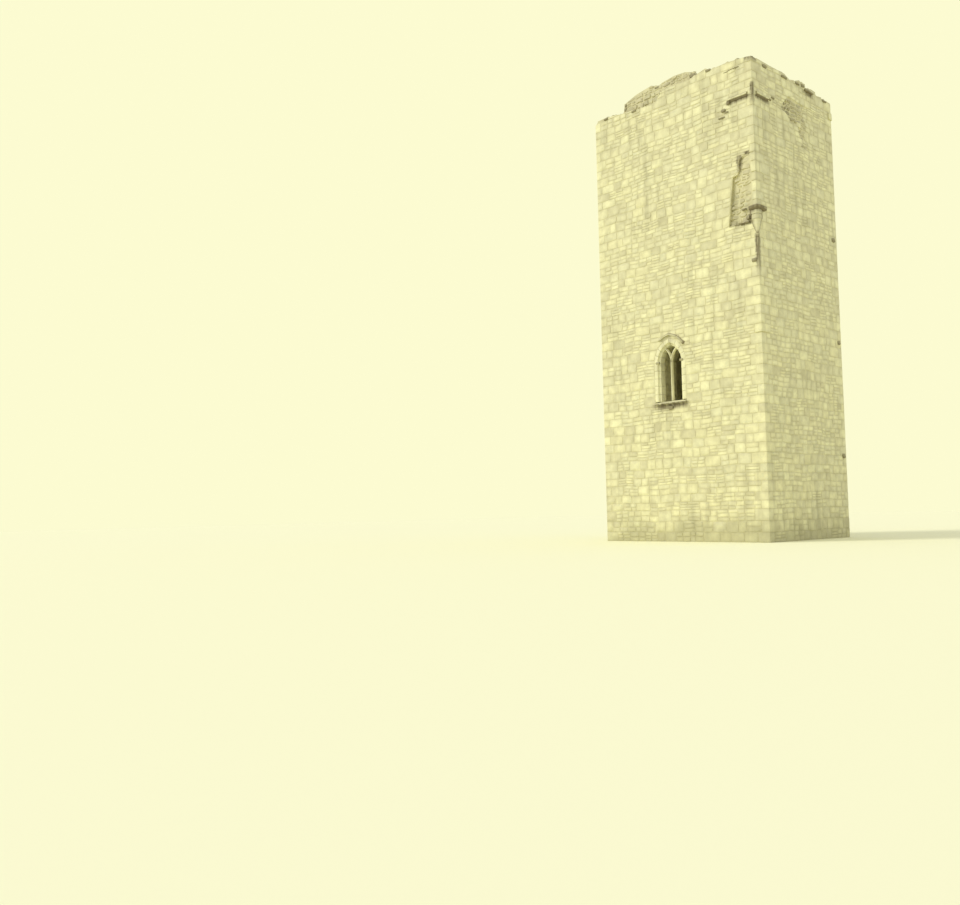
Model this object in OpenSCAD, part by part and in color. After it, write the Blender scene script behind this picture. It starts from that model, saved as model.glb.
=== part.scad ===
// The keep of a ruined castle: a square, roofless stone tower.
// X runs along the front wall to the right, Y towards the back wall, Z up.
// The origin is the middle of the tower's foot. Every length is in millimetres.

/* [Tower] */
// Width of the front and back walls, corner to corner
front_w = 9250; // [9000:10:9600]
// Width of the side walls, corner to corner
side_w = 7370; // [7200:10:7600]
// Mean height of the broken wall head
head_z = 22000; // [21700:50:22500]
// Height where the sound wall ends and the broken head begins
head_base_z = 21300; // [21100:50:21400]
// Height of the ledge inside, above which the walls are thinner
ledge_z = 11500; // [11000:50:12000]
// Thickness of the walls below the ledge
lower_t = 1800; // [1700:50:1900]
// Thickness of the walls above the ledge
upper_t = 1500; // [1400:50:1600]
// Thickness of the dressed facing that has broken away from the core at the head
facing_t = 450; // [350:10:550]

/* [Window] */
// Distance of the window's middle from the middle of its wall
window_x = -410; // [-700:10:0]
// Height of the top of the sill
sill_z = 6800; // [6600:50:7000]
// Height of the line from which the window arch springs
spring_z = 8710; // [8600:10:8900]
// Clear width between the jamb stones
window_w = 1210; // [1100:10:1300]
// Rise of the pointed arch above its springing
window_rise = 820; // [760:10:900]
// Width of the jamb and arch stones on the face
frame_w = 300; // [250:10:350]
// Depth of the jamb and arch stones into the wall
frame_d = 450; // [400:10:500]
// Thickness of the sill
sill_h = 230; // [180:10:260]
// How far the sill stands out from the face
sill_out = 110; // [80:5:140]
// Width of the mullion and of the tracery bars
bar_w = 110; // [90:5:130]
// Depth of the mullion and of the tracery bars
bar_d = 200; // [160:10:220]
// Distance from the face back to the tracery
tracery_back = 100; // [80:5:200]
// Width of the hood mould on the face
hood_w = 120; // [90:5:140]
// How far the hood mould stands out from the face
hood_out = 100; // [80:5:130]

/* [Doorway] */
// Distance of the doorway's middle from the middle of the left wall
door_x = 350; // [200:10:500]
// Clear width of the doorway
door_w = 1200; // [1100:10:1300]
// Height of the upright part of the jambs
door_jamb_h = 1500; // [1400:10:1700]
// Width of the jamb and arch stones on the face
door_frame_w = 250; // [200:10:280]
// Depth of the jamb and arch stones into the wall
door_frame_d = 420; // [350:10:480]
// How far the jamb and arch stones stand out from the face
door_frame_out = 30; // [20:5:50]

/* [Floors] */
// Height of the ground floor and of the door sill
ground_floor_z = 1500; // [1400:50:1550]
// Height of the hall floor
hall_floor_z = 5700; // [5600:50:5900]
// Thickness of the hall's paving
paving_t = 165; // [120:5:200]
// Thickness of the vault at its crown
vault_t = 350; // [300:10:400]
// Distance from the vault's springing up to where its ring parts from the wall
vault_seat = 300; // [250:10:350]

/* [Corner corbel] */
// Height of the top of the corbel's cap
corbel_z = 15150; // [15000:10:15300]
// Thickness of the cap
cap_h = 210; // [160:10:240]
// How far the cap stands out from both faces
cap_out = 190; // [150:10:230]
// Length of the cap along the front wall
cap_front = 310; // [280:10:450]
// Length of the cap along the right wall
cap_side = 560; // [450:10:800]
// Height of the block under the cap
block_h = 430; // [380:10:480]
// How far the block stands out from both faces
block_out = 130; // [100:10:145]
// Length of the block along the front wall
block_front = 290; // [260:10:390]
// Length of the block along the right wall
block_side = 240; // [200:10:390]
// Height of the pendant that tapers down to the corner's arris
pendant_h = 700; // [620:10:760]

/* [String course] */
// Height of the underside of the string course
string_z = 20280; // [20200:10:20400]
// Height of the string course on the face
string_h = 220; // [180:10:260]
// How far the string course stands out from the face
string_out = 110; // [80:5:140]
// Length that is left of it on the front wall
string_front_l = 1080; // [900:10:1200]
// Length that is left of it on the right wall
string_side_l = 1060; // [900:10:1200]
// Distance from the corner to where it begins
string_gap = 240; // [200:10:300]

/* [Hidden] */
$fn = 192;
half_f = front_w / 2;
half_s = side_w / 2;
// The turn about Z that carries the front wall's own axes to each wall
front = 0;
right = 90;
back = 180;
left = 270;

// Pointed arch: half its width, and the distance of each centre beyond the middle
window_half = window_w / 2;
window_c = (pow(window_rise, 2) - pow(window_half, 2)) / window_w;
window_r = window_half + window_c;
bay_half = window_half + frame_w;
// Offset of the hood mould from the opening, and the heights of a sound and a broken end
hood_gap = 440;
hood_foot = 820;
hood_break = 1090;
hood_stop = 170;
// Projecting impost at the foot of the arch, beside the opening
impost_w = 180;
impost_h = 110;
impost_out = 60;
sill_base = sill_z - sill_h;

door_half = door_w / 2;
door_bay = door_half + door_frame_w;
door_spring = ground_floor_z + door_jamb_h;

room_x = front_w - 2 * lower_t;
room_y = side_w - 2 * lower_t;
vault_r = room_y / 2;
vault_top = hall_floor_z - paving_t;
vault_spring = vault_top - vault_t - vault_r;

// Scar of lost facing beside the near corner: x from the corner, z above its ledge
scar_z = 14480;
scar_depth = 170;
scar_edge = [[-1460, 0], [-1310, 1240], [-1180, 2260], [-930, 2310], [-830, 2510],
    [-860, 2900], [-690, 3060], [-470, 3170], [-190, 3170], [0, 3220]];
// Lost facing on the right wall: x from the wall's middle, z above its foot, to a ragged edge
shed_z = 18890;
shed_depth = 110;
shed_reach = 1900;
shed_fade = 500;
shed_edge = [[520, 0], [830, 330], [550, 420], [250, 720], [470, 1150], [-260, 930],
    [-430, 1080], [-780, 1320], [-1220, 1440], [-920, 1840], [-430, 2260], [-1060, 2310]];

// Broken outlines of the wall heads: x from the wall's middle, z from the mean head
front_face_top = [[-half_f, -220], [-4430, 10], [-3890, 20], [-2880, -120], [-1900, -210],
    [-1020, -280], [-680, -190], [-500, 160], [60, 250], [1200, 140], [1570, 240],
    [2190, 380], [2480, 220], [3370, 220], [4390, 110], [half_f, 60]];
front_core_top = [[-half_f, -220], [-4200, -60], [-3300, -40], [-3060, 180], [-3020, 560],
    [-2260, 800], [-1350, 930], [-820, 780], [-560, 860], [110, 930], [750, 880],
    [1290, 680], [1350, 420], [2300, 330], [3300, 160], [half_f, 100]];
back_top = [[-half_f, -60], [-4300, 40], [-3500, 30], [-3300, -180], [-2300, -230],
    [-1700, -60], [-1500, 120], [-400, 180], [200, 60], [400, -150], [1500, -210],
    [2600, -120], [2900, 60], [3900, 110], [half_f, -140]];
right_top = [[-half_s, 70], [-1800, 100], [-750, 130], [-550, 40], [-150, -70], [400, 150],
    [430, 0], [620, 0], [640, 170], [1180, 200], [1210, 10], [1800, 110], [half_s, 0]];
left_top = [[-half_s, -40], [-1500, 60], [-600, 90], [-420, -150], [500, -210], [900, -60],
    [1250, 110], [1900, 60], [half_s, -20]];

// Puts what is drawn in a wall's own axes in its place. There x runs to the right as seen
// from outside, y runs from the outer face into the wall, and z runs up.
module on_wall(turn) {
    reach = turn == front || turn == back ? half_s : half_f;
    rotate([0, 0, turn]) translate([0, -reach, 0]) children();
}

// A plain block of wall between two x and two z, from the outer face inwards
module block(x0, x1, z0, z1, depth) {
    translate([x0, 0, z0]) cube([x1 - x0, depth, z1 - z0]);
}

// Stands a flat outline upright and gives it a depth from the outer face inwards
module upright(depth) {
    rotate([90, 0, 0]) translate([0, 0, -depth]) linear_extrude(depth) children();
}

// The area under a pointed arch whose opening is widened by a margin, above its springing
module pointed(margin) {
    half = window_half + margin;
    r = window_r + margin;
    intersection() {
        translate([window_c, 0]) circle(r);
        translate([-window_c, 0]) circle(r);
        translate([-half, 0]) square([2 * half, r]);
    }
}

// The same area with the upright part of the opening below it
module pointed_opening(margin, foot) {
    half = window_half + margin;
    pointed(margin);
    translate([-half, -foot]) square([2 * half, foot]);
}

// A wall's broken head, from the sound wall up to its outline
module broken_head(top, x0, x1, depth) {
    ends = [[half_f, head_base_z], [-half_f, head_base_z]];
    intersection() {
        upright(depth) polygon(concat([for (p = top) [p[0], head_z + p[1]]], ends));
        block(x0, x1, head_base_z, head_z + side_w, depth);
    }
}

module wall_base(turn) {
    color("wheat") on_wall(turn) block(-half_f, half_f, 0, sill_base, lower_t);
}

// The wall beside the window: side is -1 for the left and 1 for the right
module wall_beside_window(turn, side) {
    x0 = side < 0 ? -half_f : window_x + bay_half;
    x1 = side < 0 ? window_x - bay_half : half_f;
    color("wheat") on_wall(turn) block(x0, x1, sill_base, spring_z, lower_t);
}

// The wall over the window: its arch goes right through
module wall_over_window(turn) {
    color("wheat") on_wall(turn) difference() {
        block(-half_f, half_f, spring_z, ledge_z, lower_t);
        translate([window_x, -1, spring_z]) upright(lower_t + 2) pointed_opening(frame_w, 1);
    }
}

module window_sill(turn) {
    color("tan") on_wall(turn) translate([window_x, -sill_out, 0])
        block(-bay_half, bay_half, sill_base, sill_z, sill_out + frame_d);
}

// One jamb with its half of the arch and a small impost: side is -1 for the left
module window_frame(turn, side) {
    jamb_h = spring_z - sill_z;
    x0 = side < 0 ? -bay_half : 0;
    color("tan") on_wall(turn) translate([window_x, 0, spring_z]) {
        upright(frame_d) intersection() {
            difference() {
                pointed_opening(frame_w, jamb_h);
                pointed_opening(0, jamb_h + 1);
            }
            translate([x0, -jamb_h]) square([bay_half, jamb_h + window_r + frame_w]);
        }
        translate([side * (window_half + impost_w / 2) - impost_w / 2, -impost_out, -impost_h / 2])
            cube([impost_w, impost_out + frame_d / 2, impost_h]);
    }
}

module window_mullion(turn) {
    color("tan") on_wall(turn) translate([window_x, tracery_back, 0])
        block(-bar_w / 2, bar_w / 2, sill_z, spring_z, bar_d);
}

// A curved bar of the tracery, which springs from the mullion with the main arch's radius
module tracery_bar(side) {
    translate([side * window_r, 0]) difference() {
        circle(window_r + bar_w / 2);
        circle(window_r - bar_w / 2);
    }
}

// The mullion forks into two bars that run into the arch, so each light has its own point
module window_tracery(turn) {
    color("tan") on_wall(turn) translate([window_x, tracery_back, spring_z])
        upright(bar_d) intersection() {
            pointed(0);
            union() {
                tracery_bar(-1);
                tracery_bar(1);
            }
        }
}

// The hood mould over the arch, cut off level above the springing at the height given for its
// left and right ends, with a stop at each sound end
module window_hood(turn, feet) {
    stop_x = sqrt(pow(window_r + hood_gap + hood_w / 2, 2) - pow(hood_foot, 2)) - window_c;
    color("tan") on_wall(turn) translate([window_x, -hood_out, spring_z]) {
        upright(hood_out) intersection() {
            difference() {
                pointed(hood_gap + hood_w);
                pointed(hood_gap);
            }
            union() {
                translate([-window_w, feet[0]]) square(window_w);
                translate([0, feet[1]]) square(window_w);
            }
        }
        for (k = [0, 1]) if (feet[k] == hood_foot)
            translate([(2 * k - 1) * stop_x - hood_stop / 2, 0, hood_foot - hood_stop / 2])
                cube([hood_stop, hood_out, hood_stop]);
    }
}

// The thinner wall above the ledge of the back
module back_wall_upper() {
    color("wheat") on_wall(back) block(-half_f, half_f, ledge_z, head_base_z, upper_t);
}

// The upper front wall, with the scar that is deep at its ragged edge and dies at the corner
module front_wall_upper() {
    reach = scar_edge[0][0];
    scar_h = scar_edge[len(scar_edge) - 1][1];
    color("wheat") on_wall(front) difference() {
        block(-half_f, half_f, ledge_z, head_base_z, upper_t);
        translate([half_f, 0, scar_z]) intersection() {
            translate([0, -1, 0]) upright(scar_depth + 2)
                polygon(concat(scar_edge, [[0, 0]]));
            linear_extrude(scar_h)
                polygon([[reach, -1], [0, -1], [0, 0], [reach, scar_depth]]);
        }
    }
}

module front_wall_head() {
    color("wheat") on_wall(front) broken_head(front_face_top, -half_f, half_f, facing_t);
}

module front_rubble_core() {
    color("burlywood") on_wall(front) translate([0, facing_t, 0])
        broken_head(front_core_top, -half_f, half_f, upper_t - facing_t);
}

module back_wall_head() {
    color("wheat") on_wall(back) broken_head(back_top, -half_f, half_f, upper_t);
}

module right_wall_lower() {
    color("wheat") on_wall(right) block(-room_y / 2, room_y / 2, 0, ledge_z, lower_t);
}

// A side wall above the ledge, between the front and back walls
module side_wall_upper(turn) {
    color("wheat") on_wall(turn)
        block(upper_t - half_s, half_s - upper_t, ledge_z, head_base_z, upper_t);
}

// The upper right wall, whose facing has come off in a shallow patch with a ragged left edge,
// dying away to the right and at the top
module right_wall_upper() {
    left_end = min([for (p = shed_edge) p[0]]);
    top_z = shed_edge[len(shed_edge) - 1][1];
    difference() {
        side_wall_upper(right);
        on_wall(right) translate([0, 0, shed_z]) intersection() {
            translate([0, -1, 0]) upright(shed_depth + 2)
                polygon(concat(shed_edge, [[shed_reach, top_z], [shed_reach, 0]]));
            linear_extrude(top_z)
                polygon([[left_end, -1], [shed_reach, -1], [shed_reach, 0], [left_end, shed_depth]]);
            translate([left_end, 0, 0]) rotate([90, 0, 90])
                linear_extrude(shed_reach - left_end)
                    polygon([[-1, 0], [shed_depth, 0], [shed_depth, top_z - shed_fade], [0, top_z],
                        [-1, top_z]]);
        }
    }
}

module side_wall_head(turn, top) {
    color("wheat") on_wall(turn)
        broken_head(top, upper_t - half_s, half_s - upper_t, upper_t);
}

// The wall beside the doorway, seen from outside: side is -1 for the left and 1 for the right
module wall_beside_door(side) {
    x0 = side < 0 ? -room_y / 2 : door_x + door_bay;
    x1 = side < 0 ? door_x - door_bay : room_y / 2;
    color("wheat") on_wall(left) block(x0, x1, 0, door_spring, lower_t);
}

module left_wall_over_door() {
    color("wheat") on_wall(left) difference() {
        block(-room_y / 2, room_y / 2, door_spring, ledge_z, lower_t);
        translate([door_x, -1, door_spring]) upright(lower_t + 2) circle(door_bay);
    }
}

module door_threshold() {
    color("tan") on_wall(left)
        block(door_x - door_bay, door_x + door_bay, 0, ground_floor_z, lower_t);
}

// One door jamb with its half of the round arch: side is -1 for the left
module door_frame(side) {
    x0 = side < 0 ? -door_bay : 0;
    depth = door_frame_out + door_frame_d;
    color("tan") on_wall(left) translate([door_x, -door_frame_out, door_spring]) upright(depth)
        intersection() {
            union() {
                difference() {
                    circle(door_bay);
                    circle(door_half);
                    translate([-door_bay, -2 * door_bay]) square(2 * door_bay);
                }
                for (x = [-door_bay, door_half])
                    translate([x, -door_jamb_h]) square([door_frame_w, door_jamb_h]);
            }
            translate([x0, -door_jamb_h]) square([door_bay, door_jamb_h + door_bay]);
        }
}

module ground_floor() {
    color("darkkhaki") translate([-room_x / 2, -room_y / 2, 0])
        cube([room_x, room_y, ground_floor_z]);
}

// A barrel vault along X that springs from the front and back walls
module hall_vault() {
    seat = vault_spring + vault_seat;
    color("burlywood") difference() {
        translate([-room_x / 2, -room_y / 2, seat]) cube([room_x, room_y, vault_top - seat]);
        translate([-room_x / 2 - 1, 0, vault_spring]) rotate([0, 90, 0])
            cylinder(h = room_x + 2, r = vault_r);
    }
}

module hall_floor() {
    color("darkkhaki") translate([-room_x / 2, -room_y / 2, vault_top])
        cube([room_x, room_y, paving_t]);
}

// A block wrapped round the near corner: out from both faces, and along each of them
module corner_block(out, along_front, along_side, z0, z1) {
    translate([half_f, -half_s, z0]) difference() {
        translate([-along_front, -out, 0]) cube([along_front + out, along_side + out, z1 - z0]);
        translate([-along_front - 1, 0, -1]) cube([along_front + 1, along_side + 1, z1 - z0 + 2]);
    }
}

module corner_corbel_cap() {
    cap_base = corbel_z - cap_h;
    color("tan") {
        corner_block(cap_out, cap_front, cap_side, cap_base, corbel_z);
        corner_block(block_out, block_front, block_side, cap_base - block_h, cap_base);
    }
}

// A pyramid that hangs point down on the corner's arris
module corner_corbel_pendant() {
    top = corbel_z - cap_h - block_h;
    tip = 20;
    color("tan") translate([half_f, -half_s, top]) difference() {
        hull() {
            translate([-block_front, -block_out, -tip])
                cube([block_front + block_out, block_side + block_out, tip]);
            translate([-tip, -tip, -pendant_h]) cube([2 * tip, 2 * tip, tip]);
        }
        translate([-block_front - 1, 0, -pendant_h - 1])
            cube([block_front + 1, block_side + 1, pendant_h + 2]);
    }
}

// A length of string course with a flat top and a splayed underside, from x0 on
module string_course(x0, length) {
    translate([x0, 0, string_z]) rotate([90, 0, 90]) linear_extrude(length)
        polygon([[0, 0], [-string_out, string_h / 2], [-string_out, string_h], [0, string_h]]);
}

module string_course_front() {
    color("tan") on_wall(front)
        string_course(half_f - string_gap - string_front_l, string_front_l);
}

module string_course_right() {
    color("tan") on_wall(right) string_course(string_gap - half_s, string_side_l);
}

wall_base(front);  // front_wall_base
wall_beside_window(front, -1);  // front_wall_left_of_window
wall_beside_window(front, 1);  // front_wall_right_of_window
wall_over_window(front);  // front_wall_over_window
front_wall_upper();
front_wall_head();
front_rubble_core();
window_sill(front);  // front_window_sill
window_frame(front, -1);  // front_window_left_frame
window_frame(front, 1);  // front_window_right_frame
window_mullion(front);  // front_window_mullion
window_tracery(front);  // front_window_tracery
window_hood(front, [hood_break, hood_foot]);  // front_window_hood
wall_base(back);  // back_wall_base
wall_beside_window(back, -1);  // back_wall_left_of_window
wall_beside_window(back, 1);  // back_wall_right_of_window
wall_over_window(back);  // back_wall_over_window
back_wall_upper();
back_wall_head();
window_sill(back);  // back_window_sill
window_frame(back, -1);  // back_window_left_frame
window_frame(back, 1);  // back_window_right_frame
window_mullion(back);  // back_window_mullion
window_tracery(back);  // back_window_tracery
window_hood(back, [hood_foot, hood_foot]);  // back_window_hood
right_wall_lower();
right_wall_upper();
side_wall_head(right, right_top);  // right_wall_head
wall_beside_door(1);  // left_wall_beside_door_front
wall_beside_door(-1);  // left_wall_beside_door_back
left_wall_over_door();
side_wall_upper(left);  // left_wall_upper
side_wall_head(left, left_top);  // left_wall_head
door_threshold();
door_frame(1);  // door_front_frame
door_frame(-1);  // door_back_frame
ground_floor();
hall_vault();
hall_floor();
corner_corbel_cap();
corner_corbel_pendant();
string_course_front();
string_course_right();
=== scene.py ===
from functools import partial
from itertools import compress, pairwise

import bmesh
import bpy
import numpy as np
from mathutils import Matrix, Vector
from mathutils.bvhtree import BVHTree


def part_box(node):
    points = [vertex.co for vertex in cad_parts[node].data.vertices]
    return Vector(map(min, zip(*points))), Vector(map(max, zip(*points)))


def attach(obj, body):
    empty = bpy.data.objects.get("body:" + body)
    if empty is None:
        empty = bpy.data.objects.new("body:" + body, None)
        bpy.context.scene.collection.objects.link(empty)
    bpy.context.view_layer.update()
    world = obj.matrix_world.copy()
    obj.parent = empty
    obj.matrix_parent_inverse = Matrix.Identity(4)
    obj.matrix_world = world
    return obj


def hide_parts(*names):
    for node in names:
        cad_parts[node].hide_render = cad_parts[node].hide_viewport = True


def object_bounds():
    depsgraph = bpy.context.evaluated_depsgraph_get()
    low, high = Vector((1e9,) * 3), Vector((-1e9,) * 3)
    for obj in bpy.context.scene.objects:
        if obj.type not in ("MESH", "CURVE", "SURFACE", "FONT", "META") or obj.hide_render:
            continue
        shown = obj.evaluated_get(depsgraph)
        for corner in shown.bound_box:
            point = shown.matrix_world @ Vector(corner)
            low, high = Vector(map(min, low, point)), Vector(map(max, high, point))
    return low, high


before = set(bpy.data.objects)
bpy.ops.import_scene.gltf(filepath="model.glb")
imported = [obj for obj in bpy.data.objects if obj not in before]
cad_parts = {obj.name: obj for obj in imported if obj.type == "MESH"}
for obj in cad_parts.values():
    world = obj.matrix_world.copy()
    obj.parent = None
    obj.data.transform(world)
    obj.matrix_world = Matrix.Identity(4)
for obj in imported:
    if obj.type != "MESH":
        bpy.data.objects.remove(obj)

scene = bpy.context.scene
cad_box = [list(map(float, corner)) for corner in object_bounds()]

# Camera. It stands low down and to the right of the front wall, looks slightly up, and is turned
# a little about its own axis, as a hand-held sketch is.
eye = np.array([26.451, -40.715, 1.6])
yaw, pitch, roll = 0.8322, 0.0641, -0.0206
frame_width_px, focal_px, sensor_mm = 960, 930, 36.0
ahead = np.array([-np.sin(yaw) * np.cos(pitch), np.cos(yaw) * np.cos(pitch), np.sin(pitch)])
level_right = np.cross(ahead, [0.0, 0.0, 1.0])
level_right /= np.linalg.norm(level_right)
level_up = np.cross(level_right, ahead)
turn = np.eye(4)
turn[:3, 0] = np.cos(roll) * level_right + np.sin(roll) * level_up
turn[:3, 1] = np.cos(roll) * level_up - np.sin(roll) * level_right
turn[:3, 2] = -ahead
turn[:3, 3] = eye
camera_data = bpy.data.cameras.new("camera")
camera_data.sensor_width = sensor_mm
camera_data.lens = sensor_mm * focal_px / frame_width_px
camera_data.clip_end = 500.0
camera = bpy.data.objects.new("camera", camera_data)
scene.collection.objects.link(camera)
camera.matrix_world = Matrix(turn.tolist())
scene.camera = camera


# Studio. A wide pale floor, a pale world that the camera sees as paper, and one soft sun
# from the left of the front wall.
def add_node(kind, inputs, tree=None, **settings):
    """A node with its settings. Each input gets a value, or a link where the value is a socket, and
    with no tree named the node stands in that socket's own."""
    linked = [value for value in inputs.values() if isinstance(value, bpy.types.NodeSocket)]
    tree = tree or linked[0].id_data
    node = tree.nodes.new(kind)
    for name, value in settings.items():
        setattr(node, name, value)
    for label, value in inputs.items():
        if isinstance(value, bpy.types.NodeSocket):
            tree.links.new(value, node.inputs[label])
        else:
            node.inputs[label].default_value = value
    return node


def maths(operation, *values):
    """One operation on the values, each of them a number or a socket."""
    return add_node("ShaderNodeMath", dict(enumerate(values)), operation=operation).outputs[0]


scene.view_settings.view_transform = "Standard"
paper = (0.975, 0.965, 0.64, 1.0)
world = bpy.data.worlds.new("studio")
scene.world = world
world.use_nodes = True
sky = world.node_tree
sky.nodes.clear()
rays = add_node("ShaderNodeLightPath", {}, sky).outputs
seen = maths("MAXIMUM", rays["Is Camera Ray"], rays["Is Glossy Ray"])
seen = maths("MAXIMUM", seen, rays["Is Transmission Ray"])
soft_light = add_node("ShaderNodeBackground", {"Color": (0.97, 0.98, 1.0, 1.0), "Strength": 0.74}, sky)
backdrop = add_node("ShaderNodeBackground", {"Color": paper}, sky)
choice = add_node("ShaderNodeMixShader", {0: seen, 1: soft_light.outputs[0], 2: backdrop.outputs[0]})
add_node("ShaderNodeOutputWorld", {"Surface": choice.outputs[0]})

sun_data = bpy.data.lights.new("soft_sun", "SUN")
sun_data.energy = 1.45
sun_data.angle = np.radians(18)
sun_data.color = (1.0, 0.97, 0.92)
sun = bpy.data.objects.new("soft_sun", sun_data)
sun.rotation_euler = (np.radians(52), 0.0, np.radians(-38))
scene.collection.objects.link(sun)

floor_reach = 140.0
floor_corners = [(-1, -1), (1, -1), (1, 1), (-1, 1)]
floor_mesh = bpy.data.meshes.new("floor")
floor_mesh.from_pydata([(x * floor_reach, y * floor_reach, 0) for x, y in floor_corners], [],
                       [(0, 1, 2, 3)])
floor = bpy.data.objects.new("floor", floor_mesh)
scene.collection.objects.link(floor)
floor_finish = bpy.data.materials.new("floor_paper")
floor_finish.use_nodes = True
floor_sockets = floor_finish.node_tree.nodes["Principled BSDF"].inputs
floor_sockets["Base Color"].default_value = (0.955, 0.945, 0.63, 1)
floor_sockets["Roughness"].default_value = 1.0
floor_mesh.materials.append(floor_finish)


# Wall cores. Each wall is a thick mass of small stones set in lime mortar, and that mortar is
# what shows in the joints of the facing. The CAD solids carry it. Rain has left streaks on it,
# lichen has taken hold and the foot is damp.
def new_group(name, inputs, outputs=("Factor",)):
    """A shader group with a vector input, number inputs with defaults, and outputs. Returns it with
    its vector and all that it is given."""
    group = bpy.data.node_groups.new(name, "ShaderNodeTree")
    group.interface.new_socket("Vector", in_out="INPUT", socket_type="NodeSocketVector")
    for label, value in inputs.items():
        socket = group.interface.new_socket(label, in_out="INPUT", socket_type="NodeSocketFloat")
        socket.default_value = value
    for label in outputs:
        group.interface.new_socket(label, in_out="OUTPUT", socket_type="NodeSocketFloat")
    given = add_node("NodeGroupInput", {}, group).outputs
    return group, given["Vector"], given


def vector_maths(operation, inputs, output="Vector"):
    """One operation on vectors."""
    return add_node("ShaderNodeVectorMath", inputs, operation=operation).outputs[output]


def noise(vector, scale, detail, roughness=0.5):
    """Cloudy noise over the vector, about 0.5."""
    return add_node("ShaderNodeTexNoise", {"Vector": vector, "Scale": scale, "Detail": detail,
                                           "Roughness": roughness}).outputs["Fac"]


def ramp(value, low, high):
    """0 where the value is at low and 1 where it is at high, smooth between."""
    return add_node("ShaderNodeMapRange", {"Value": value, "From Min": low, "From Max": high},
                    interpolation_type="SMOOTHSTEP").outputs["Result"]


def product(first, *others):
    """All the values multiplied together."""
    for other in others:
        first = maths("MULTIPLY", first, other)
    return first


grain_group, where, given = new_group("stone_grain", {"Patch Scale": 2.0, "Grain Scale": 40.0},
                                      ["Mottle", "Height"])
patches = noise(where, given["Patch Scale"], 4.0, 0.6)
grains = noise(where, given["Grain Scale"], 5.0, 0.7)
pits = add_node("ShaderNodeTexVoronoi", {"Vector": where, "Scale": given["Grain Scale"]})
pit_depth = ramp(pits.outputs["Distance"], 0.0, 0.35)
add_node("NodeGroupOutput", {"Mottle": ramp(patches, 0.3, 0.7),
                             "Height": maths("MULTIPLY_ADD", grains, pit_depth, patches)})

streak_group, where, given = new_group("rain_streaks", {"Cover": 0.5, "Width": 0.4})
drawn_out = vector_maths("MULTIPLY", {0: where, 1: (1.0, 1.0, 0.07)})
drawn_out = vector_maths("SCALE", {0: drawn_out, "Scale": maths("DIVIDE", 1.0, given["Width"])})
runs = ramp(noise(drawn_out, 1.0, 4.0), 0.46, 0.72)
breaks = ramp(noise(where, 0.35, 3.0), 0.42, 0.62)
add_node("NodeGroupOutput", {"Factor": product(runs, breaks, given["Cover"])})

lichen_group, where, given = new_group("lichen", {"Cover": 0.5, "Spot Scale": 9.0})
colonies = ramp(noise(where, 0.8, 3.0), 0.48, 0.66)
spots = ramp(noise(where, given["Spot Scale"], 6.0, 0.75), 0.5, 0.6)
add_node("NodeGroupOutput", {"Factor": product(colonies, spots, given["Cover"])})

damp_group, where, given = new_group("damp_foot", {"Rise": 2.0})
level = add_node("ShaderNodeSeparateXYZ", {0: where}).outputs["Z"]
below = maths("SUBTRACT", product(given["Rise"], noise(where, 0.9, 4.0)), level)
add_node("NodeGroupOutput", {"Factor": ramp(below, -0.4, 0.9)})

# The rain stain and painted shade under a ledge at X, Y and Level: full beside it, and gone at Reach
# to the sides and at Drop below, in runs.
ledge_stain_and_shade_group, where, given = new_group("ledge_stain_and_shade", {"X": 0.0, "Y": 0.0, "Level": 1.0, "Reach": 0.5,
                                                      "Drop": 1.0})
ledge_point = add_node("ShaderNodeCombineXYZ", {"X": given["X"], "Y": given["Y"], "Z": given["Level"]})
offset = vector_maths("SUBTRACT", {0: where, 1: ledge_point.outputs[0]})
aside = vector_maths("LENGTH", {0: vector_maths("MULTIPLY", {0: offset, 1: (1.0, 1.0, 0.0)})}, "Value")
aside = maths("MULTIPLY_ADD", noise(where, 5.0, 4.0), 0.25, aside)
aside = maths("DIVIDE", aside, given["Reach"])
up = add_node("ShaderNodeSeparateXYZ", {0: offset}).outputs["Z"]
up = maths("DIVIDE", up, given["Drop"])
drips = noise(vector_maths("MULTIPLY", {0: where, 1: (7.0, 7.0, 0.8)}), 1.0, 3.0)
broken_up = add_node("ShaderNodeMapRange", {"Value": drips, "From Min": 0.35, "From Max": 0.6,
                                            "To Min": 0.5}).outputs[0]
add_node("NodeGroupOutput", {"Factor": product(ramp(aside, 1.25, 0.75), ramp(up, -1.0, -0.3),
                                               ramp(up, 0.12, 0.0), broken_up)})

# Each ledge is its distances from the near corner along the front and the right wall, then its
# level, reach and drop. Their stains are partly painted shade, and the last two, at the top of the
# corner scar, are painted shade alone.
base_low, base_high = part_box("front_wall_base")
half_front, half_side = base_high[0], -base_low[1]
ledges = [(0, 0, 15.17, 0.55, 0.5), (0, 0, 13.72, 0.26, 2.3), (0, 0, 20.8, 0.25, 1.3),
          (0.72, 0, 20.33, 0.75, 0.25), (0, 0.75, 20.33, 0.75, 0.25), (0, 0, 22.2, 0.5, 0.4),
          (5.035, 0, 6.68, 1.1, 0.4), (0.55, 0, 14.47, 0.5, 0.16), (0, 5.135, 21.82, 0.6, 0.25),
          (0.81, 0, 17.6, 0.25, 0.95), (0.42, 0, 17.74, 0.26, 0.2)]


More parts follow.
